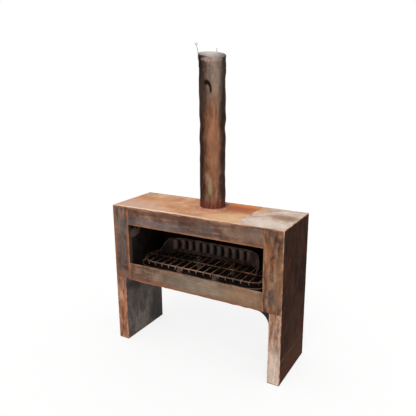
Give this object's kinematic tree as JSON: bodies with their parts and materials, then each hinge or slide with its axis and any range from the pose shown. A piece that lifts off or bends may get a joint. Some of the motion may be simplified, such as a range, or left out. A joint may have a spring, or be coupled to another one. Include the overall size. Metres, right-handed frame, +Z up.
{
  "type": "outdoor fireplace",
  "caption": "Weathering-steel garden fireplace: a shallow box with a wide front opening on two panel legs, a lift-out fire pan with rod grate and fluted fireback, and a lift-off round chimney.",
  "frame": {"origin": "middle of the footprint, on the ground", "axes": "+X to the right seen from the front, -Y towards the viewer, +Z up along the chimney"},
  "size_m": [1.1, 0.38, 1.812],
  "materials": {
    "corten_front": "matte",
    "corten_top": "matte",
    "corten_side": "matte",
    "dark_liner": "matte",
    "sooted_steel": "matte",
    "grate_rod": "matte",
    "collar_red": "matte",
    "corten_pipe": "matte",
    "bright_wire": "satin"
  },
  "bodies": {
    "casing": {"top_panel_left": "corten_top", "top_panel_right": "corten_top", "side_panel_left": "corten_side", "side_panel_right": "corten_side", "side_skirt_left": "corten_side", "side_skirt_right": "corten_side", "back_panel": "corten_side", "front_stile_left": "corten_front", "front_stile_right": "corten_front", "front_top_rail": "corten_front", "front_bottom_rail": "corten_front", "leg_front_left": "corten_front", "leg_front_right": "corten_front", "leg_back_left": "corten_side", "leg_back_right": "corten_side", "leg_liner_left": "dark_liner", "leg_liner_right": "dark_liner", "foot_plate_left": "corten_front", "foot_plate_right": "corten_front", "underside_panel": "dark_liner", "floor_bearers": "dark_liner", "firebox_floor": "sooted_steel", "firebox_cheek_left": "sooted_steel", "firebox_cheek_right": "sooted_steel", "flue_collar": "collar_red", "flue_spigot": "sooted_steel"},
    "fire_pan": {"fire_pan": "sooted_steel"},
    "grate": {"grate_frame": "grate_rod", "grate_bars": "grate_rod", "grate_cross_rod": "grate_rod", "grate_feet": "grate_rod", "fireback": "sooted_steel"},
    "chimney": {"chimney_pipe": "corten_pipe", "cap_clip_left": "bright_wire", "cap_clip_back": "bright_wire"}
  },
  "joints": [
    {"name": "chimney_lift", "type": "slide", "parent": "casing", "child": "chimney", "axis": [0, 0, 1], "range_m": [0, 0.07]},
    {"name": "fire_pan_lift", "type": "slide", "parent": "casing", "child": "fire_pan", "axis": [0, 0, 1], "range_m": [0, 0.085]},
    {"name": "grate_lift", "type": "slide", "parent": "fire_pan", "child": "grate", "axis": [0, 0, 1], "range_m": [0, 0.085]}
  ]
}
